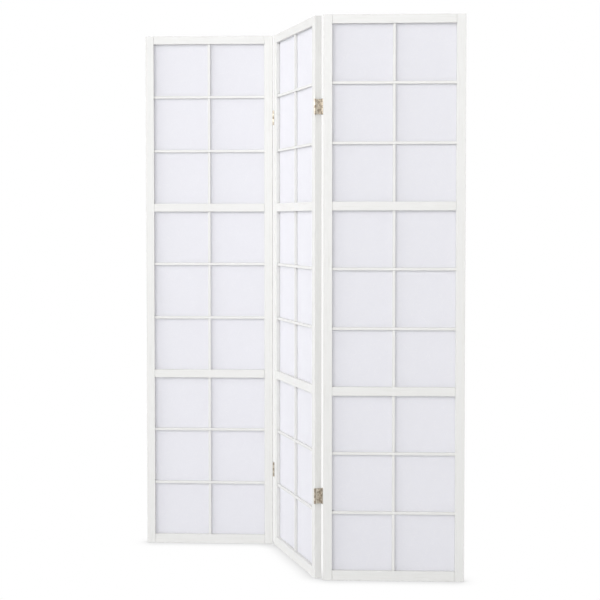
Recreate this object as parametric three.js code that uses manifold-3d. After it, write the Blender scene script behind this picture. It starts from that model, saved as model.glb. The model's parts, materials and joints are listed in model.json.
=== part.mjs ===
// A folding room divider: three lattice panels in a zig-zag, joined by two folds of double-action
// hinges, which let each panel fold to the front or to the back of the next.
//
// Units are millimetres and +Z is up. The origin is on the floor under the centre of the middle
// panel, the outer panels run along X, and the screen's front looks towards -Y.
// A panel's own frame has x from its left edge to its right, y from its front face to its back,
// and z up from the floor.

import * as THREE from "three";
import { mergeVertices } from "three/addons/utils/BufferGeometryUtils.js";
import Module from "manifold-3d";

// Panels
const PANEL_THICKNESS = 22;
const STILE_WIDTH = 29; // as seen from the front
const RAIL_HEIGHTS = { bottom: 32, lower_middle: 28, upper_middle: 28, top: 28 };
const BAR_WIDTH = 9; // lattice bars, as seen from the front
const BAR_DEPTH = 8;
const BAR_RECESS = 4; // from the frame's front face to a bar's front face
const CELL_WIDTH = 190; // clear opening between two lattice bars
const CELL_HEIGHT = 180;
const COLUMNS = 2;
const ROWS_PER_SECTION = 3;
const SECTION_NAMES = ["bottom", "centre", "top"]; // the openings between the rails

// Wood joints, and the paper in its rabbet
const GAP = 0.3; // between any two pieces that touch
const TENON_LENGTH = 20;
const TENON_THICKNESS = 6;
const TENON_SHOULDER = 5; // the rail is this much higher than its tenon, above and below
const TENON_SETBACK = 3; // from the front face
const STUB_LENGTH = 5; // how far a bar's end enters the frame
const RABBET_WIDTH = 7;
const PAPER_THICKNESS = 0.5;
const PAPER_CLEARANCE = 0.5; // from the paper's edge to the rabbet's wall

// Folds and hinges
const FOLD_ANGLE = THREE.MathUtils.degToRad(69.6); // the middle panel's turn from the outer ones
const AXIS_TO_EDGE = 3.3; // from a hinge axis sideways to a panel's edge
const AXIS_TO_FACE = 1.2; // from a hinge axis to the plane of the panel faces that close on it
const HINGE_HEIGHT = 48;
const HINGE_INSETS = { bottom: 266, top: 286 }; // from a hinge's centre to that end of the panel
const KNUCKLES = 5; // in a barrel: a leaf has the first, and then the link and the leaf in turn
const KNUCKLE_RADIUS = 3;
const PIN_RADIUS = 1.45;
const PIN_HEAD_RADIUS = 2.4;
const PIN_HEAD_HEIGHT = 1.4;
const LEAF_THICKNESS = 1.2;
const LEAF_WIDTH = 18; // from the hinge axis to the leaf's free edge
const LINK_THICKNESS = 1.2;
const ACCESS_RADIUS = 4.2; // of the holes in the link, through which the screws are driven
const SCREW_SPREAD = 12.5; // from the hinge's centre up and down to each screw
const SCREW_HOLE_RADIUS = 1.9;
const COUNTERSINK_RADIUS = 3.4;
const CIRCLE_SIDES = 24;

// Sizes that follow from those
const RAIL_NAMES = Object.keys(RAIL_HEIGHTS); // upwards from the floor
const TOP_RAIL = RAIL_NAMES.length - 1;
const BAR_BACK = BAR_RECESS + BAR_DEPTH;
const BAR_MIDDLE = BAR_RECESS + BAR_DEPTH / 2;
const OPENING_WIDTH = COLUMNS * CELL_WIDTH + (COLUMNS - 1) * BAR_WIDTH;
const SECTION_HEIGHT = ROWS_PER_SECTION * CELL_HEIGHT + (ROWS_PER_SECTION - 1) * BAR_WIDTH;
const PANEL_WIDTH = OPENING_WIDTH + 2 * STILE_WIDTH;
const PANEL_HEIGHT = railLevel(TOP_RAIL)[1];
const OUTSIDE = 1; // a cut runs this far past the face that it opens
const KNUCKLE_PITCH = HINGE_HEIGHT / KNUCKLES;
const BORE_RADIUS = KNUCKLE_RADIUS - LEAF_THICKNESS;
const AXIS_OFFSET = PANEL_THICKNESS / 2 + AXIS_TO_FACE; // from the middle of the thickness
const HINGE_LEVELS = { bottom: HINGE_INSETS.bottom, top: PANEL_HEIGHT - HINGE_INSETS.top };
const KNUCKLE_NUMBERS = Array.from({ length: KNUCKLES }, (_, index) => index);
const LEAF_KNUCKLES = KNUCKLE_NUMBERS.filter((index) => index % 2 === 0);
const LINK_KNUCKLES = KNUCKLE_NUMBERS.filter((index) => index % 2 === 1);

const PAINTED_WOOD = new THREE.MeshStandardMaterial({ color: 0xeeeeea, roughness: 0.5 });
const PAPER = new THREE.MeshStandardMaterial({ color: 0xeeeef4, roughness: 0.95 });
const METAL = new THREE.MeshStandardMaterial({ color: 0xb5a68c, roughness: 0.35, metalness: 1 });

const wasm = await Module();
wasm.setup();

// Solids -------------------------------------------------------------------------------------

function solid(geometry) {
  geometry.deleteAttribute("normal");
  geometry.deleteAttribute("uv");
  const merged = mergeVertices(geometry);
  return new wasm.Manifold(
    new wasm.Mesh({
      numProp: 3,
      vertProperties: merged.attributes.position.array,
      triVerts: new Uint32Array(merged.index.array),
    }),
  );
}

// A box from three [low, high] pairs.
function box(x, y, z) {
  const geometry = new THREE.BoxGeometry(x[1] - x[0], y[1] - y[0], z[1] - z[0]);
  geometry.translate((x[0] + x[1]) / 2, (y[0] + y[1]) / 2, (z[0] + z[1]) / 2);
  return solid(geometry);
}

// A cylinder along Z on the origin's axis.
function upright(radius, [low, high]) {
  const geometry = new THREE.CylinderGeometry(radius, radius, high - low, CIRCLE_SIDES);
  geometry.rotateX(Math.PI / 2);
  geometry.translate(0, 0, (low + high) / 2);
  return solid(geometry);
}

// A cylinder or cone along X, between two places that each have their own radius.
function lying(start, startRadius, end, endRadius, y, z) {
  const length = Math.abs(end - start);
  const geometry = new THREE.CylinderGeometry(endRadius, startRadius, length, CIRCLE_SIDES);
  geometry.rotateZ(end > start ? -Math.PI / 2 : Math.PI / 2);
  geometry.translate((start + end) / 2, y, z);
  return solid(geometry);
}

function cut(shape, ...tools) {
  return tools.reduce((left, tool) => left.subtract(tool), shape);
}

function join(shape, ...others) {
  return others.reduce((sum, other) => sum.add(other), shape);
}

function grown([low, high], by) {
  return [low - by, high + by];
}

// The interval between two distances on one side of zero, low end first.
function onSide(sign, near, far) {
  return sign > 0 ? [near, far] : [-far, -near];
}

function piece(name, shape, material) {
  const { vertProperties, triVerts } = shape.getMesh();
  const geometry = new THREE.BufferGeometry();
  geometry.setAttribute("position", new THREE.BufferAttribute(vertProperties, 3));
  geometry.setIndex(new THREE.BufferAttribute(triVerts, 1));
  const mesh = new THREE.Mesh(geometry.toNonIndexed(), material);
  mesh.geometry.computeVertexNormals();
  mesh.name = name;
  return mesh;
}

// The panel's lines --------------------------------------------------------------------------

const FULL_DEPTH = [0, PANEL_THICKNESS];
const BAR_LAYER = [BAR_RECESS, BAR_BACK];
const RABBET_LAYER = [BAR_BACK, PANEL_THICKNESS + OUTSIDE];
const TENON_LAYER = [TENON_SETBACK, TENON_SETBACK + TENON_THICKNESS];
const CENTRE_BAR = [(PANEL_WIDTH - BAR_WIDTH) / 2, (PANEL_WIDTH + BAR_WIDTH) / 2];

// The z interval of a rail, counted upwards from the bottom one.
function railLevel(index) {
  const below = RAIL_NAMES.slice(0, index).map((name) => RAIL_HEIGHTS[name] + SECTION_HEIGHT);
  const low = below.reduce((sum, height) => sum + height, 0);
  return [low, low + RAIL_HEIGHTS[RAIL_NAMES[index]]];
}

// The z intervals of the crosswise bars in a section, counted upwards from the bottom one.
function barLevels(section) {
  const floor = railLevel(section)[1];
  return Array.from({ length: ROWS_PER_SECTION - 1 }, (_, row) => {
    const low = floor + (row + 1) * CELL_HEIGHT + row * BAR_WIDTH;
    return [low, low + BAR_WIDTH];
  });
}

function tenonLevel(index) {
  return grown(railLevel(index), -TENON_SHOULDER);
}

// The interval between two distances inwards from a panel's left or right edge.
function inwards(side, near, far) {
  return side === "left" ? [near, far] : [PANEL_WIDTH - far, PANEL_WIDTH - near];
}

// Panel pieces -------------------------------------------------------------------------------

function stile(side) {
  const inner = STILE_WIDTH + OUTSIDE;
  const rabbet = box(
    inwards(side, STILE_WIDTH - RABBET_WIDTH, inner),
    RABBET_LAYER,
    grown([railLevel(0)[1], railLevel(TOP_RAIL)[0]], RABBET_WIDTH),
  );
  const railMortises = RAIL_NAMES.map((_, index) =>
    box(
      inwards(side, STILE_WIDTH - TENON_LENGTH - GAP, inner),
      grown(TENON_LAYER, GAP),
      grown(tenonLevel(index), GAP),
    ),
  );
  const barMortises = SECTION_NAMES.flatMap((_, section) => barLevels(section)).map((level) =>
    box(
      inwards(side, STILE_WIDTH - STUB_LENGTH - GAP, inner),
      grown(BAR_LAYER, GAP),
      grown(level, GAP),
    ),
  );
  const blank = box(inwards(side, 0, STILE_WIDTH), FULL_DEPTH, [0, PANEL_HEIGHT]);
  return cut(blank, rabbet, ...railMortises, ...barMortises);
}

function rail(index) {
  const atBottom = index === 0;
  const atTop = index === TOP_RAIL;
  const level = railLevel(index);
  const shoulders = [STILE_WIDTH + GAP, PANEL_WIDTH - STILE_WIDTH - GAP];
  const tenonEnds = grown([STILE_WIDTH, PANEL_WIDTH - STILE_WIDTH], TENON_LENGTH);
  const depth = atBottom || atTop ? PANEL_THICKNESS : BAR_BACK; // the paper passes the middle rails
  const wood = join(
    box(shoulders, [0, depth], level),
    box(tenonEnds, TENON_LAYER, tenonLevel(index)),
  );
  const edgesOnOpenings = [];
  if (!atBottom) edgesOnOpenings.push([level[0] - OUTSIDE, level[0]]);
  if (!atTop) edgesOnOpenings.push([level[1], level[1] + OUTSIDE]);
  const across = grown(shoulders, OUTSIDE);
  const cuts = edgesOnOpenings.flatMap((edge) => [
    box(across, RABBET_LAYER, grown(edge, RABBET_WIDTH)),
    box(grown(CENTRE_BAR, GAP), grown(BAR_LAYER, GAP), grown(edge, STUB_LENGTH + GAP)),
  ]);
  return cut(wood, ...cuts);
}

function crossBar(level) {
  const length = grown([STILE_WIDTH, PANEL_WIDTH - STILE_WIDTH], STUB_LENGTH);
  const halfLap = box(
    grown(CENTRE_BAR, GAP),
    [BAR_MIDDLE - GAP / 2, BAR_BACK + OUTSIDE],
    grown(level, OUTSIDE),
  );
  return cut(box(length, BAR_LAYER, level), halfLap);
}

function uprightBar(section) {
  const length = grown([railLevel(section)[1], railLevel(section + 1)[0]], STUB_LENGTH);
  const halfLaps = barLevels(section).map((level) =>
    box(
      grown(CENTRE_BAR, OUTSIDE),
      [BAR_RECESS - OUTSIDE, BAR_MIDDLE + GAP / 2],
      grown(level, GAP),
    ),
  );
  return cut(box(CENTRE_BAR, BAR_LAYER, length), ...halfLaps);
}

function paper() {
  const overlap = RABBET_WIDTH - PAPER_CLEARANCE;
  return box(
    grown([STILE_WIDTH, PANEL_WIDTH - STILE_WIDTH], overlap),
    [BAR_BACK + GAP, BAR_BACK + GAP + PAPER_THICKNESS],
    grown([railLevel(0)[1], railLevel(TOP_RAIL)[0]], overlap),
  );
}

// All the pieces of one panel, in the panel's own frame.
function panel(name) {
  const group = new THREE.Group();
  for (const side of ["left", "right"]) {
    group.add(piece(`${name}_stile_${side}`, stile(side), PAINTED_WOOD));
  }
  RAIL_NAMES.forEach((railName, index) => {
    group.add(piece(`${name}_rail_${railName}`, rail(index), PAINTED_WOOD));
  });
  SECTION_NAMES.forEach((sectionName, section) => {
    group.add(piece(`${name}_upright_bar_${sectionName}`, uprightBar(section), PAINTED_WOOD));
    barLevels(section).forEach((level, row) => {
      const barName = `${name}_cross_bar_${sectionName}_${row + 1}`;
      group.add(piece(barName, crossBar(level), PAINTED_WOOD));
    });
  });
  group.add(piece(`${name}_paper`, paper(), PAPER));
  return group;
}

// Hinges -------------------------------------------------------------------------------------

// The z interval of a knuckle, counted upwards, about the hinge's centre.
function knuckleSlot(index) {
  const low = index * KNUCKLE_PITCH - HINGE_HEIGHT / 2;
  return [low, low + KNUCKLE_PITCH];
}

// A barrel's knuckles, about its axis.
function barrels(numbers) {
  return numbers.map((index) => upright(KNUCKLE_RADIUS, grown(knuckleSlot(index), -GAP / 2)));
}

// Room in a plate for the other plate's knuckles. x is the plate's own layer.
function notches(numbers, x, y) {
  return numbers.map((index) => box(grown(x, OUTSIDE), y, grown(knuckleSlot(index), GAP / 2)));
}

// A leaf about its own axis. Its panel's edge is on the edgeSign side in x, and the panel's
// thickness runs to the faceSign side in y.
function leaf(edgeSign, faceSign) {
  const layer = onSide(edgeSign, BORE_RADIUS, KNUCKLE_RADIUS);
  const plate = box(
    layer,
    onSide(faceSign, 0, LEAF_WIDTH),
    grown([-HINGE_HEIGHT / 2, HINGE_HEIGHT / 2], -GAP / 2),
  );
  const room = notches(LINK_KNUCKLES, layer, onSide(faceSign, -OUTSIDE, KNUCKLE_RADIUS + GAP));
  const bore = upright(BORE_RADIUS, grown([-HINGE_HEIGHT / 2, HINGE_HEIGHT / 2], OUTSIDE));
  const countersinks = [-SCREW_SPREAD, SCREW_SPREAD].map((z) =>
    lying(
      edgeSign * BORE_RADIUS,
      COUNTERSINK_RADIUS,
      edgeSign * KNUCKLE_RADIUS,
      SCREW_HOLE_RADIUS,
      faceSign * AXIS_OFFSET,
      z,
    ),
  );
  return cut(join(cut(plate, ...room), ...barrels(LEAF_KNUCKLES)), bore, ...countersinks);
}

// A pin, headed over at both ends to hold the knuckles together.
function pin() {
  const seat = HINGE_HEIGHT / 2 + GAP;
  const end = seat + PIN_HEAD_HEIGHT;
  const shoulder = seat + PIN_HEAD_HEIGHT / 2;
  const upperHalf = [
    [PIN_RADIUS, seat],
    [PIN_HEAD_RADIUS, seat],
    [PIN_HEAD_RADIUS, shoulder],
    [PIN_RADIUS, end],
    [0, end],
  ];
  const lowerHalf = upperHalf.map(([radius, z]) => [radius, -z]).reverse();
  const profile = [...lowerHalf, ...upperHalf].map(([radius, z]) => new THREE.Vector2(radius, z));
  const geometry = new THREE.LatheGeometry(profile, CIRCLE_SIDES);
  geometry.rotateX(Math.PI / 2);
  return solid(geometry);
}

// The link that lies between two leaves, about the middle of the panels' thickness. It has a barrel
// at its front and one at its back, each with a pin pressed into its knuckles.
function link() {
  const layer = [-LINK_THICKNESS / 2, LINK_THICKNESS / 2];
  const plate = box(
    layer,
    [-AXIS_OFFSET, AXIS_OFFSET],
    grown([-HINGE_HEIGHT / 2, HINGE_HEIGHT / 2], -GAP / 2),
  );
  const axes = [-AXIS_OFFSET, AXIS_OFFSET];
  const room = axes.flatMap((axis) =>
    notches(LEAF_KNUCKLES, layer, grown([axis, axis], KNUCKLE_RADIUS + GAP)),
  );
  const access = [-SCREW_SPREAD, SCREW_SPREAD].map((z) =>
    lying(-OUTSIDE, ACCESS_RADIUS, OUTSIDE, ACCESS_RADIUS, 0, z),
  );
  const ends = axes.flatMap((axis) =>
    [...barrels(LINK_KNUCKLES), pin()].map((shape) => shape.translate([0, axis, 0])),
  );
  return join(cut(plate, ...room, ...access), ...ends);
}

// The screen ---------------------------------------------------------------------------------

// The left fold is turned about its hinges' front axis, and the right fold about their back axis.
// The links lie flat along the middle panel's edges.
const MIDDLE_WIDTH_TO_AXIS = PANEL_WIDTH / 2 + AXIS_TO_EDGE;
const FOLDS = [
  { name: "left", sign: -1 },
  { name: "right", sign: 1 },
];

const screen = new THREE.Group();
const middle = new THREE.Group();
middle.rotation.z = -FOLD_ANGLE;
screen.add(middle);

const middlePanel = panel("middle");
middlePanel.position.set(-PANEL_WIDTH / 2, -PANEL_THICKNESS / 2, 0);
middle.add(middlePanel);

for (const { name, sign } of FOLDS) {
  const outer = new THREE.Group();
  outer.position.set(sign * MIDDLE_WIDTH_TO_AXIS, sign * AXIS_OFFSET, 0);
  outer.rotation.z = FOLD_ANGLE;
  middle.add(outer);

  const outerPanel = panel(name);
  outerPanel.position.set(
    sign < 0 ? -PANEL_WIDTH - AXIS_TO_EDGE : AXIS_TO_EDGE,
    sign < 0 ? AXIS_TO_FACE : -PANEL_THICKNESS - AXIS_TO_FACE,
    0,
  );
  outer.add(outerPanel);

  for (const [end, level] of Object.entries(HINGE_LEVELS)) {
    const hinge = `${name}_fold_${end}_hinge`;
    const middleLeaf = piece(`${hinge}_middle_leaf`, leaf(-sign, sign), METAL);
    middleLeaf.position.set(sign * MIDDLE_WIDTH_TO_AXIS, -sign * AXIS_OFFSET, level);
    const hingeLink = piece(`${hinge}_link`, link(), METAL);
    hingeLink.position.set(sign * MIDDLE_WIDTH_TO_AXIS, 0, level);
    middle.add(middleLeaf, hingeLink);
    const outerLeaf = piece(`${hinge}_outer_leaf`, leaf(sign, -sign), METAL);
    outerLeaf.position.z = level;
    outer.add(outerLeaf);
  }
}

export default screen;
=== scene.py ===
# Folding room divider screen: three tall panels of white painted lattice with white paper behind it.
# Units are metres. X runs to the right, Y away from the viewer and Z up; the screen stands on z = 0.
# A panel's own frame has u across it, v from its front face to its back and z up.
import json
import math
import random

import bmesh
import bpy
from mathutils import Matrix, Vector


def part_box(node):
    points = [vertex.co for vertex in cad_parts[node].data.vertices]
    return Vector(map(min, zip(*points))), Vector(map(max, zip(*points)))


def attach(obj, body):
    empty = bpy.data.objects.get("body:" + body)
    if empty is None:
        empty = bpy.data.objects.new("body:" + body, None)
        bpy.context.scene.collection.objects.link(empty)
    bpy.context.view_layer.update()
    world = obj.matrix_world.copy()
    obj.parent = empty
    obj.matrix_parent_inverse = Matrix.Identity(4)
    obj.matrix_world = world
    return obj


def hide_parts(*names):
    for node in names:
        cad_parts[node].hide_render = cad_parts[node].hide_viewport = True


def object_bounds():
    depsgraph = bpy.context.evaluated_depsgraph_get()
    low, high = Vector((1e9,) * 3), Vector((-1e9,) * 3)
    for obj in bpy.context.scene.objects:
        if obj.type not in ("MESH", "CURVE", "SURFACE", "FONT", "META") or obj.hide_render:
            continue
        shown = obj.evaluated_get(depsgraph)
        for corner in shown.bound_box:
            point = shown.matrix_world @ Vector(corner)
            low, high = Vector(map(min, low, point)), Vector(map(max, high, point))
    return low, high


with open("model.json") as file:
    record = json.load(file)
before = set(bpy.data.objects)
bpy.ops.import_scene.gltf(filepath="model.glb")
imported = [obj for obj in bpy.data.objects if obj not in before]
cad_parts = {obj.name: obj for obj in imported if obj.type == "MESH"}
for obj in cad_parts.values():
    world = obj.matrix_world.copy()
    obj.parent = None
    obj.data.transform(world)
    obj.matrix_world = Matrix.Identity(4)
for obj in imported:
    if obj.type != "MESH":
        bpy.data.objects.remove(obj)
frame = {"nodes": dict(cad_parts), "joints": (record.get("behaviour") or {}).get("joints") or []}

CAD_LOW, CAD_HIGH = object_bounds()
NODES = frame["nodes"]
JOINTS = {joint["name"]: joint for joint in frame["joints"]}
FOLD_ANGLE = math.radians(-JOINTS["left_fold"]["range_deg"][0])
LEFT_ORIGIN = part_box("left_stile_left")[0]
MM = 0.001
WHITE = (1, 1, 1, 1)

# The camera, which stands a little below the upper middle rails and looks slightly down.
CAMERA_PLACE = (0.1864, -4.1589, 1.1422)
CAMERA_YAW = math.radians(2.41)
CAMERA_TILT = math.radians(1.966)
CAMERA_SENSOR = 36.0
CAMERA_LENS = 74.74
CAMERA_SHIFT = -0.06

# The studio's lamps: direction from the screen, distance, width and power in watts.
LAMPS = {
    "key": (Vector((-0.514, -0.707, 0.486)), 12.0, 4.1, 460.0),
    "side": (Vector((-0.96, -0.20, 0.20)), 6.0, 3.0, 165.0),
    "front": (Vector((0.05, -1.0, 0.25)), 8.0, 4.0, 225.0),
    "back": (Vector((0.45, 1.0, 0.60)), 6.0, 4.0, 95.0),
}
SKY_LIGHT = 0.56

# The floor. The camera sees a soft shade on it where it is less open to the sky.
FLOOR_ALBEDO = 0.72
FLOOR_SIZE = 60.0
FLOOR_DROP = 0.2 * MM
SHADE_REACH = 70 * MM
SHADE_SAMPLES = 16
SHADE_OPENNESS = (0.35, 0.95)
SHADE_BRIGHTNESS = (0.66, 1.0)

# Wood. ALONG_GRAIN is how fast the grain changes along a piece, where it is 1 across it.
EDGE_ROUNDING = 0.8 * MM
EDGE_SEGMENTS = 3
EDGE_WEAR = 0.30
WELD_DISTANCE = 0.01 * MM
FLAT_ANGLE = math.radians(1)
SHARP_EDGE = math.radians(30)
ALONG_GRAIN = 0.035

# Paper. Each opening draws its own depth, ripple and lean from these ranges.
PAPER_THICKNESS = 0.3 * MM
PAPER_SETBACK = 0.05 * MM
PAPER_STEPS = 12
PAPER_BULGE = 0.55 * MM
PAPER_RIPPLE = 0.12 * MM
PAPER_SEED = 40
DEPTH_SHARES = (-0.6, 1.0)
RIPPLE_SHARES = (0.3, 1.0)
RIPPLE_LEANS = (-1.2, 1.2)
RIPPLE_WAVES = 1.5
RIPPLE_PHASE = 5
HOLD_POWER = 1.5

# Hinges. How much darker each part's brass is painted as shade, from 0 to 1: the leaves and screws
# get painted shade, the link none.
LEAF_ROUNDING = 0.15 * MM
LEAF_SEGMENTS = 2
LEAF_PAINTED_SHADE = 0.6
LINK_PAINTED_SHADE = 0.0
SCREW_PAINTED_SHADE = 0.35

# Screws. The first three are measured from the axis of the leaf that a screw holds.
LEAF_FACE = 1.8 * MM
SCREW_ACROSS = 12.2 * MM
SCREW_UP = 12.5 * MM
SCREW_SEED = 7
SCREW_SIDES = 24
SCREW_SINK = 0.12 * MM
SCREW_HEAD_RADIUS = 3.2 * MM
SCREW_HEAD_DEPTH = 1.2 * MM
SCREW_HEAD_RIM = 0.08 * MM
SCREW_NECK = 0.2 * MM
SCREW_NECK_WIDER = 0.3 * MM
SCREW_CORE_RADIUS = 1.15 * MM
SCREW_THREAD_RADIUS = 1.5 * MM
SCREW_THREAD_PITCH = 1.3 * MM
SCREW_THREAD_STEEPNESS = 4
SCREW_RINGS_PER_PITCH = 5
SCREW_LENGTH = 14 * MM
SCREW_TIP = 3 * MM
SCREW_POINT = 0.06
RECESS_REACH = 1.75 * MM
RECESS_HALF_WIDTH = 0.42 * MM
RECESS_DEPTH = 0.8 * MM
RECESS_TAPER = 0.5


# ---------------------------------------------------------------- panels


class Panel:
    """One panel, with its own frame's origin at the front lower left corner."""

    def __init__(self, name, origin, turn):
        self.name = name
        self.body = name + "_panel"
        self.turn = turn
        self.matrix = Matrix.Translation(origin) @ Matrix.Rotation(turn, 4, "Z")

    def point(self, u, v, z):
        return self.matrix @ Vector((u, v, z))


def left_in_own_frame(node):
    """A left panel node's lowest and highest corner, in the panel's own frame."""
    low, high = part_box(node)
    return low - LEFT_ORIGIN, high - LEFT_ORIGIN


def make_panels():
    """The three panels. The middle one is centred on the origin and the outer ones run along X."""
    right_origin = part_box("right_stile_left")[0]
    size = left_in_own_frame("left_stile_right")[1]
    half_across = Vector((-size.x / 2, -size.y / 2, 0))
    middle_origin = Matrix.Rotation(-FOLD_ANGLE, 3, "Z") @ half_across
    return [
        Panel("left", LEFT_ORIGIN, 0.0),
        Panel("middle", middle_origin, -FOLD_ANGLE),
        Panel("right", right_origin, 0.0),
    ]


# ---------------------------------------------------------------- materials


class Look:
    """A material, and short ways to add nodes to it."""

    def __init__(self, name):
        self.material = bpy.data.materials.new(name)
        self.material.use_nodes = True
        self.tree = self.material.node_tree
        self.tree.nodes.clear()

    def node(self, kind, inputs=None, **settings):
        """Adds a node. inputs gives values or sockets by the inputs' names or numbers."""
        made = self.tree.nodes.new("ShaderNode" + kind)
        for name, value in settings.items():
            setattr(made, name, value)
        for name, value in (inputs or {}).items():
            if isinstance(value, bpy.types.NodeSocket):
                self.tree.links.new(value, made.inputs[name])
            else:
                made.inputs[name].default_value = value
        return made

    def place(self, turn=0.0, stretch=(1, 1, 1)):
        """The surface point in metres, turned about Z and then stretched."""
        point = self.node("TexCoord").outputs["Object"]
        turned = self.node("Mapping", {"Vector": point, "Rotation": (0, 0, turn)}).outputs[0]
        return self.node("Mapping", {"Vector": turned, "Scale": stretch}).outputs[0]

    def noise(self, vector, scale, detail=2.0, roughness=0.5, distortion=0.0):
        inputs = {
            "Vector": vector,
            "Scale": scale,
            "Detail": detail,
            "Roughness": roughness,
            "Distortion": distortion,
        }
        return self.node("TexNoise", inputs).outputs["Fac"]

    def ranged(self, value, given, wanted, smooth=False):
        """value, taken from the range given to the range wanted and held inside that."""
        inputs = {"Value": value, 1: given[0], 2: given[1], 3: wanted[0], 4: wanted[1]}
        kind = "SMOOTHSTEP" if smooth else "LINEAR"
        return self.node("MapRange", inputs, interpolation_type=kind).outputs[0]

    def maths(self, operation, first, second):
        return self.node("Math", {0: first, 1: second}, operation=operation).outputs[0]

    def mixed(self, factor, first, second):
        """A colour between two colours, which are the node's inputs 6 and 7."""
        return self.node("Mix", {0: factor, 6: first, 7: second}, data_type="RGBA").outputs[2]

    def bump(self, height, strength, distance):
        inputs = {"Height": height, "Strength": strength, "Distance": distance}
        return self.node("Bump", inputs).outputs[0]

    def finish(self, shader):
        self.node("OutputMaterial", {"Surface": shader})
        return self.material


PAINT_LIGHT = (0.648, 0.647, 0.638, 1)
PAINT_DARK = (0.622, 0.621, 0.609, 1)
PAINT_IN_GRAIN = (0.572, 0.569, 0.548, 1)
PRIMER = (0.560, 0.505, 0.410, 1)
PAINT_ROUGHNESS = (0.36, 0.50)
PAINT_IOR = 1.47
GRAIN_SHOWS = 0.55
BRUSH_HEIGHT = 0.35
DAB_HEIGHT = 0.5


def painted_wood(name, turn, stretch, worn):
    """Satin white paint over softwood, whose grain shows a little along the piece. worn is how
    much of the undercoat shows, which is on the rounded edges only."""
    look = Look(name)
    place = look.place()
    along = look.place(-turn, stretch)
    tone = look.noise(place, scale=3.0, detail=3.0)
    grain = look.noise(along, scale=320.0, detail=3.0, roughness=0.55, distortion=0.6)
    brush = look.noise(along, scale=1500.0, detail=1.0)
    dabs = look.noise(place, scale=90.0, detail=2.0)
    lines = look.ranged(grain, (0.50, 0.72), (0.0, GRAIN_SHOWS), smooth=True)
    colour = look.mixed(tone, PAINT_DARK, PAINT_LIGHT)
    colour = look.mixed(lines, colour, PAINT_IN_GRAIN)
    if worn:
        rubbed = look.noise(place, scale=45.0, detail=4.0, roughness=0.65)
        bare = look.ranged(rubbed, (0.52, 0.74), (0.0, worn), smooth=True)
        colour = look.mixed(bare, colour, PRIMER)
    height = look.maths("ADD", grain, look.maths("MULTIPLY", brush, BRUSH_HEIGHT))
    height = look.maths("ADD", height, look.maths("MULTIPLY", dabs, DAB_HEIGHT))
    inputs = {
        "Base Color": colour,
        "Roughness": look.ranged(dabs, (0.3, 0.7), PAINT_ROUGHNESS),
        "Normal": look.bump(height, strength=0.35, distance=0.12 * MM),
        "IOR": PAINT_IOR,
    }
    return look.finish(look.node("BsdfPrincipled", inputs).outputs[0])


PAPER_CLOUD_LIGHT = (0.786, 0.786, 0.830, 1)
PAPER_CLOUD_DARK = (0.762, 0.762, 0.803, 1)
PAPER_FIBRE = (0.834, 0.832, 0.861, 1)
PAPER_THROUGH = (0.800, 0.795, 0.800, 1)
PAPER_THROUGH_SHARE = 0.3
PAPER_ROUGHNESS = 0.85
PAPER_SHEEN = 0.3
FIBRE_DIRECTIONS = (12, 71, 128)
FIBRE_STRETCH = (26, 26, 420)
FIBRE_SHOWS = 0.6


def fibres(look, place):
    """Where long thin fibres lie, in three directions."""
    strands = None
    for degrees in FIBRE_DIRECTIONS:
        angle = math.radians(degrees)
        leaning = look.node("Mapping", {"Vector": place, "Rotation": (0, angle, 0)}).outputs[0]
        thin = look.node("Mapping", {"Vector": leaning, "Scale": FIBRE_STRETCH}).outputs[0]
        value = look.noise(thin, scale=1.0, detail=2.0, roughness=0.5, distortion=1.4)
        strand = look.ranged(value, (0.62, 0.70), (0.0, 1.0), smooth=True)
        strands = strand if strands is None else look.maths("MAXIMUM", strands, strand)
    return strands


def fibre_paper(turn):
    """Matt white paper with long fibres in it, which lets a little light through."""
    look = Look("paper_look")
    place = look.place(-turn)
    cloud = look.noise(place, scale=38.0, detail=4.0, roughness=0.6)
    strands = fibres(look, place)
    colour = look.mixed(cloud, PAPER_CLOUD_DARK, PAPER_CLOUD_LIGHT)
    colour = look.mixed(look.maths("MULTIPLY", strands, FIBRE_SHOWS), colour, PAPER_FIBRE)
    tooth = look.noise(place, scale=700.0, detail=3.0, roughness=0.6)
    height = look.maths("ADD", strands, tooth)
    normal = look.bump(height, strength=0.3, distance=0.08 * MM)
    inputs = {
        "Base Color": colour,
        "Roughness": PAPER_ROUGHNESS,
        "Normal": normal,
        "Specular IOR Level": PAPER_SHEEN,
    }
    front = look.node("BsdfPrincipled", inputs).outputs[0]
    through = look.node("BsdfTranslucent", {"Color": PAPER_THROUGH, "Normal": normal}).outputs[0]
    both = look.node("MixShader", {0: PAPER_THROUGH_SHARE, 1: front, 2: through})
    return look.finish(both.outputs[0])


BRASS_BRIGHT = (0.78, 0.72, 0.62, 1)
BRASS_TARNISHED_AND_SHADED = (0.33, 0.28, 0.22, 1)
BRASS_DULLEST = 0.75
BRASS_ROUGHNESS = (0.30, 0.48)
BRUSHED_STRETCH = (5200, 5200, 90)


def dull_brass_with_painted_shade(name, painted_shade):
    """Pale brass plate that has gone dull in patches, brushed along the hinge, and painted darker
    all over as shade by the given amount.
    """
    look = Look(name)
    place = look.place()
    patches = look.noise(place, scale=160.0, detail=4.0, roughness=0.65)
    brushed = look.noise(look.place(0.0, BRUSHED_STRETCH), scale=1.0, detail=2.0)
    # The dull patches are tarnish. The part's painted shade raises both ends of their range, which
    # paints shade over the whole plate.
    tarnish_and_painted_shade = (painted_shade, BRASS_DULLEST + painted_shade / 2)
    tarnish_and_shade = look.ranged(patches, (0.38, 0.66), tarnish_and_painted_shade, smooth=True)
    inputs = {
        "Base Color": look.mixed(tarnish_and_shade, BRASS_BRIGHT, BRASS_TARNISHED_AND_SHADED),
        "Metallic": 1.0,
        "Roughness": look.ranged(patches, (0.3, 0.7), BRASS_ROUGHNESS),
        "Normal": look.bump(brushed, strength=0.25, distance=0.03 * MM),
    }
    return look.finish(look.node("BsdfPrincipled", inputs).outputs[0])


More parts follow.
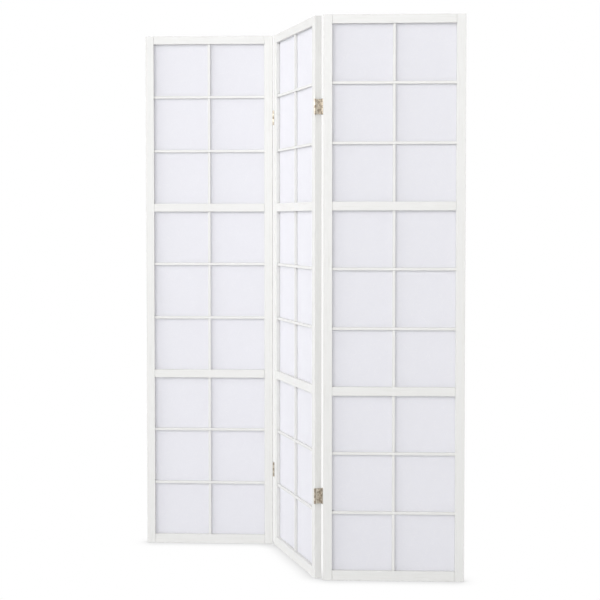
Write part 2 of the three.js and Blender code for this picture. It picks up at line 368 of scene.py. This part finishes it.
def make_paints():
    """Paint by the direction in which a piece's grain runs, each with its worn edges."""
    directions = {
        "upright": (0.0, (1, 1, ALONG_GRAIN)),
        "across": (0.0, (ALONG_GRAIN, 1, 1)),
        "across_turned": (-FOLD_ANGLE, (ALONG_GRAIN, 1, 1)),
    }
    paints = {}
    for name, (turn, stretch) in directions.items():
        face = painted_wood("paint_" + name, turn, stretch, 0.0)
        edge = painted_wood("paint_edge_" + name, turn, stretch, EDGE_WEAR)
        paints[name] = (face, edge)
    return paints


# ---------------------------------------------------------------- wood and hinge nodes


def dress(piece, materials, rounding, segments):
    """Gives a CAD node its materials, rounded edges and smooth shading over them. The rounded
    edges take the last of the materials."""
    mesh = piece.data
    mesh.materials.clear()
    for material in materials:
        mesh.materials.append(material)
    if "custom_normal" in mesh.attributes:
        mesh.attributes.remove(mesh.attributes["custom_normal"])
    mesh.shade_smooth()
    weld = piece.modifiers.new("weld", "WELD")
    weld.merge_threshold = WELD_DISTANCE
    flat = piece.modifiers.new("flat faces", "DECIMATE")
    flat.decimate_type = "DISSOLVE"
    flat.angle_limit = FLAT_ANGLE
    rounded = piece.modifiers.new("rounded edges", "BEVEL")
    rounded.width = rounding
    rounded.segments = segments
    rounded.limit_method = "ANGLE"
    rounded.angle_limit = SHARP_EDGE
    rounded.material = len(materials) - 1
    rounded.use_clamp_overlap = False
    rounded.harden_normals = True


def dress_wood(panels):
    paints = make_paints()
    for panel in panels:
        across = "across_turned" if panel.turn else "across"
        for name, piece in NODES.items():
            if not name.startswith(panel.name + "_") or "hinge" in name or "paper" in name:
                continue
            upright = "stile" in name or "upright" in name
            dress(piece, paints["upright" if upright else across], EDGE_ROUNDING, EDGE_SEGMENTS)


def dress_hinges():
    # The leaves and the link are the same brass. The leaves are painted darker as shade.
    leaf = dull_brass_with_painted_shade("hinge_leaf", LEAF_PAINTED_SHADE)
    link = dull_brass_with_painted_shade("hinge_link", LINK_PAINTED_SHADE)
    for name, piece in NODES.items():
        if "hinge" in name:
            metal = link if name.endswith("link") else leaf
            dress(piece, [metal], LEAF_ROUNDING, LEAF_SEGMENTS)


# ---------------------------------------------------------------- paper


def openings():
    """The lattice's openings in a panel's own frame: their u ranges and their z ranges."""
    sides = ["left_stile_left", "left_upright_bar_centre", "left_stile_right"]
    columns = []
    for one, other in zip(sides, sides[1:]):
        columns.append((left_in_own_frame(one)[1].x, left_in_own_frame(other)[0].x))
    levels = [n for n in NODES if n.startswith("left_rail_") or n.startswith("left_cross_bar_")]
    levels.sort(key=lambda n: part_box(n)[0].z)
    rows = []
    for lower, upper in zip(levels, levels[1:]):
        rows.append((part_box(lower)[1].z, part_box(upper)[0].z))
    return columns, rows


def grid_lines(low, high, ranges):
    """Values from low to high, close together inside the ranges, with one at each range's ends."""
    lines = [low]
    for start, end in ranges:
        lines += [start + (end - start) * i / PAPER_STEPS for i in range(PAPER_STEPS + 1)]
    return lines + [high]


def grid_faces(across, upward):
    """The faces of a grid that has that many vertices across and upward."""
    faces = []
    for j in range(upward - 1):
        for i in range(across - 1):
            first = j * across + i
            faces.append((first, first + 1, first + 1 + across, first + across))
    return faces


def in_range(value, ranges):
    """(the number of the range that value is in, its share of the way along), or None."""
    for i, (start, end) in enumerate(ranges):
        if start < value < end:
            return i, (value - start) / (end - start)
    return None


def draw_openings(columns, rows, number):
    """Each opening's own depth, ripple and lean, for the sheet with this number."""
    luck = random.Random(PAPER_SEED + number)
    drawn = {}
    for i in range(len(columns)):
        for j in range(len(rows)):
            depth = luck.uniform(*DEPTH_SHARES)
            ripple = luck.uniform(*RIPPLE_SHARES)
            lean = luck.uniform(*RIPPLE_LEANS)
            drawn[i, j] = (depth, ripple, lean)
    return drawn


def bulge(u, z, columns, rows, drawn):
    """How far the paper stands back at a point, or forward where it is negative: well under a
    millimetre in an opening, and nothing where it lies on the wood."""
    column, row = in_range(u, columns), in_range(z, rows)
    if column is None or row is None:
        return 0.0
    depth, ripple, lean = drawn[column[0], row[0]]
    s, t = column[1], row[1]
    held = (math.sin(math.pi * s) * math.sin(math.pi * t)) ** HOLD_POWER
    wave = math.sin(math.tau * (RIPPLE_WAVES * s + lean * t) + lean * RIPPLE_PHASE)
    return held * (depth * PAPER_BULGE + ripple * wave * PAPER_RIPPLE)


def sheet_mesh(panel, number, low, high):
    """The front of a panel's sheet. low and high are the sheet's corners in the panel's frame."""
    columns, rows = openings()
    drawn = draw_openings(columns, rows, number)
    across = grid_lines(low.x, high.x, columns)
    upward = grid_lines(low.z, high.z, rows)
    front = low.y + PAPER_SETBACK
    corners = []
    for z in upward:
        for u in across:
            corners.append(panel.point(u, front + bulge(u, z, columns, rows, drawn), z))
    mesh = bpy.data.meshes.new(panel.name + "_paper_sheet")
    mesh.from_pydata([tuple(c) for c in corners], [], grid_faces(len(across), len(upward)))
    mesh.shade_smooth()
    mesh.materials.append(fibre_paper(panel.turn))
    return mesh


def make_paper(panel, number):
    """One sheet of paper in the rabbet behind a panel's lattice."""
    low, high = left_in_own_frame("left_paper")
    mesh = sheet_mesh(panel, number, low, high)
    sheet = bpy.data.objects.new(panel.name + "_paper_sheet", mesh)
    bpy.context.scene.collection.objects.link(sheet)
    thick = sheet.modifiers.new("thickness", "SOLIDIFY")
    thick.thickness = PAPER_THICKNESS
    thick.offset = -1
    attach(sheet, panel.body)
    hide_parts(panel.name + "_paper")


# ---------------------------------------------------------------- screws


def ring(mesh, radius_at, depth):
    """SCREW_SIDES vertices round the screw's axis, which is -Z, at a depth."""
    made = []
    for i in range(SCREW_SIDES):
        angle = math.tau * i / SCREW_SIDES
        radius = radius_at(angle)
        made.append(mesh.verts.new((radius * math.cos(angle), radius * math.sin(angle), -depth)))
    return made


def join_rings(mesh, upper, lower):
    for i in range(len(upper)):
        j = (i + 1) % len(upper)
        mesh.faces.new((upper[i], lower[i], lower[j], upper[j]))


def cross_outline(mesh, scale, depth):
    """The twelve corners of a cross, round the screw's axis."""
    r, w = RECESS_REACH * scale, RECESS_HALF_WIDTH * scale
    made = []
    for quarter in range(4):
        turn = Matrix.Rotation(quarter * math.pi / 2, 2)
        for corner in ((r, -w), (r, w), (w, w)):
            x, y = turn @ Vector(corner)
            made.append(mesh.verts.new((x, y, -depth)))
    return made


def edges_round(mesh, loop):
    """The edges from each of a loop's vertices to the next, made where there is none yet."""
    pairs = zip(loop, loop[1:] + loop[:1])
    return [mesh.edges.get(pair) or mesh.edges.new(pair) for pair in pairs]


def thread_radius(angle, depth):
    """The thread's radius: a ridge that winds round the core, and a tip that tapers."""
    along = (depth / SCREW_THREAD_PITCH - angle / math.tau) % 1.0
    ridge = max(0.0, 1 - abs(along - 0.5) * SCREW_THREAD_STEEPNESS)
    radius = SCREW_CORE_RADIUS + (SCREW_THREAD_RADIUS - SCREW_CORE_RADIUS) * ridge
    left = (SCREW_SINK + SCREW_LENGTH - depth) / SCREW_TIP
    return radius * min(1.0, max(SCREW_POINT, left))


def add_head(mesh):
    """Adds the countersunk head with its cross recess, and returns the ring under it."""
    rim = SCREW_HEAD_RIM
    top = ring(mesh, lambda a: SCREW_HEAD_RADIUS - rim, SCREW_SINK)
    side = ring(mesh, lambda a: SCREW_HEAD_RADIUS - rim / 2, SCREW_SINK + rim)
    neck_radius = SCREW_CORE_RADIUS + SCREW_NECK_WIDER
    under = ring(mesh, lambda a: neck_radius, SCREW_HEAD_DEPTH + SCREW_NECK)
    join_rings(mesh, top, side)
    join_rings(mesh, side, under)
    mouth = cross_outline(mesh, 1.0, SCREW_SINK)
    floor = cross_outline(mesh, RECESS_TAPER, SCREW_SINK + RECESS_DEPTH)
    bmesh.ops.triangle_fill(mesh, edges=edges_round(mesh, top) + edges_round(mesh, mouth))
    join_rings(mesh, floor, mouth)
    mesh.faces.new(floor)
    return under


def add_shank(mesh, under):
    """Adds the threaded shank, from the ring under the head to the tip."""
    pitches = (SCREW_LENGTH - SCREW_HEAD_DEPTH) / SCREW_THREAD_PITCH
    rings = round(pitches * SCREW_RINGS_PER_PITCH)
    start = SCREW_HEAD_DEPTH + SCREW_NECK
    last = under
    for i in range(1, rings + 1):
        depth = start + (SCREW_SINK + SCREW_LENGTH - start) * i / rings
        lower = ring(mesh, lambda a: thread_radius(a, depth), depth)
        join_rings(mesh, last, lower)
        last = lower
    mesh.faces.new(last)


def screw_mesh():
    """A countersunk cross-recessed wood screw, pointing along -Z from its head at z = 0."""
    mesh = bmesh.new()
    add_shank(mesh, add_head(mesh))
    bmesh.ops.recalc_face_normals(mesh, faces=mesh.faces)
    made = bpy.data.meshes.new("screw")
    mesh.to_mesh(made)
    mesh.free()
    # The screws' brass is painted darker as shade.
    made.materials.append(dull_brass_with_painted_shade("screw_metal", SCREW_PAINTED_SHADE))
    return made


def leaf_axis(side, link, on_middle):
    """The axis of one leaf of a hinge, at the hinge's middle height. The outer panel's leaf turns
    on the fold's joint, and the middle panel's leaf on the link's other pin."""
    low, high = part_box(link)
    middle = (low + high) / 2
    turned = Vector(JOINTS[side + "_fold"]["pos_m"])
    turned.z = middle.z
    return 2 * middle - turned if on_middle else turned


def make_screws():
    """Two screws in each hinge leaf, each with its head's cross turned its own way. inward and
    across are the ways from a leaf's axis into its panel's wood, along u, and to its screws,
    along v."""
    mesh = screw_mesh()
    leaves = [
        ("left", "middle", -FOLD_ANGLE, 1, -1),
        ("left", "left", 0.0, -1, 1),
        ("right", "middle", -FOLD_ANGLE, -1, 1),
        ("right", "right", 0.0, 1, -1),
    ]
    luck = random.Random(SCREW_SEED)
    for side, panel, turn, inward, across in leaves:
        lay = Matrix.Rotation(-inward * math.pi / 2, 4, "Y")
        turned = Matrix.Rotation(turn, 4, "Z")
        for place in ("bottom", "top"):
            hinge = f"{side}_fold_{place}_hinge"
            centre = Matrix.Translation(leaf_axis(side, hinge + "_link", panel == "middle"))
            for number, up in enumerate((-SCREW_UP, SCREW_UP), start=1):
                screw = bpy.data.objects.new(f"{hinge}_{panel}_screw_{number}", mesh)
                bpy.context.scene.collection.objects.link(screw)
                offset = (inward * LEAF_FACE, across * SCREW_ACROSS, up)
                spin = Matrix.Rotation(luck.uniform(0, math.pi / 2), 4, "Z")
                screw.matrix_world = centre @ turned @ Matrix.Translation(offset) @ lay @ spin
                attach(screw, panel + "_panel")


# ---------------------------------------------------------------- studio


def make_camera():
    data = bpy.data.cameras.new("camera")
    data.sensor_width = CAMERA_SENSOR
    data.lens = CAMERA_LENS
    data.shift_y = CAMERA_SHIFT
    camera = bpy.data.objects.new("camera", data)
    camera.location = CAMERA_PLACE
    camera.rotation_euler = (math.pi / 2 - CAMERA_TILT, 0, CAMERA_YAW)
    bpy.context.scene.collection.objects.link(camera)
    bpy.context.scene.camera = camera


def make_lamps():
    """Square lamps that face the middle of the screen."""
    middle = (CAD_LOW + CAD_HIGH) / 2
    for name, (direction, distance, width, power) in LAMPS.items():
        data = bpy.data.lights.new(name, "AREA")
        data.energy = power
        data.size = width
        lamp = bpy.data.objects.new(name, data)
        lamp.location = middle + direction.normalized() * distance
        lamp.rotation_euler = direction.to_track_quat("Z", "Y").to_euler()
        bpy.context.scene.collection.objects.link(lamp)


def make_world():
    """White where the camera sees it, and a softer even light on everything else."""
    world = bpy.data.worlds.new("studio")
    world.use_nodes = True
    tree = world.node_tree
    tree.nodes.clear()
    path = tree.nodes.new("ShaderNodeLightPath")
    light = tree.nodes.new("ShaderNodeBackground")
    light.inputs["Color"].default_value = WHITE
    light.inputs["Strength"].default_value = SKY_LIGHT
    white = tree.nodes.new("ShaderNodeBackground")
    white.inputs["Color"].default_value = WHITE
    mix = tree.nodes.new("ShaderNodeMixShader")
    output = tree.nodes.new("ShaderNodeOutputWorld")
    tree.links.new(path.outputs["Is Camera Ray"], mix.inputs[0])
    tree.links.new(light.outputs[0], mix.inputs[1])
    tree.links.new(white.outputs[0], mix.inputs[2])
    tree.links.new(mix.outputs[0], output.inputs["Surface"])
    bpy.context.scene.world = world


def floor_look():
    """A white floor that the camera sees as pure white, but for a soft shade close to the screen."""
    look = Look("floor")
    grey = (FLOOR_ALBEDO, FLOOR_ALBEDO, FLOOR_ALBEDO, 1)
    lit = look.node("BsdfDiffuse", {"Color": grey}).outputs[0]
    open_sky = look.node("AmbientOcclusion", {"Distance": SHADE_REACH}, samples=SHADE_SAMPLES)
    shade = look.ranged(open_sky.outputs["AO"], SHADE_OPENNESS, SHADE_BRIGHTNESS)
    seen = look.node("Emission", {"Color": WHITE, "Strength": shade}).outputs[0]
    camera = look.node("LightPath").outputs["Is Camera Ray"]
    return look.finish(look.node("MixShader", {0: camera, 1: lit, 2: seen}).outputs[0])


def make_floor():
    half = FLOOR_SIZE / 2
    corners = [(-half, -half), (half, -half), (half, half), (-half, half)]
    mesh = bpy.data.meshes.new("floor")
    mesh.from_pydata([(x, y, -FLOOR_DROP) for x, y in corners], [], [(0, 1, 2, 3)])
    mesh.materials.append(floor_look())
    floor = bpy.data.objects.new("floor", mesh)
    bpy.context.scene.collection.objects.link(floor)


def make_studio():
    make_camera()
    make_world()
    make_floor()
    make_lamps()
    bpy.context.scene.view_settings.view_transform = "Standard"
    bpy.context.scene.view_settings.look = "None"


# ---------------------------------------------------------------- the screen


panels = make_panels()
dress_wood(panels)
dress_hinges()
for number, panel in enumerate(panels):
    make_paper(panel, number)
make_screws()
make_studio()
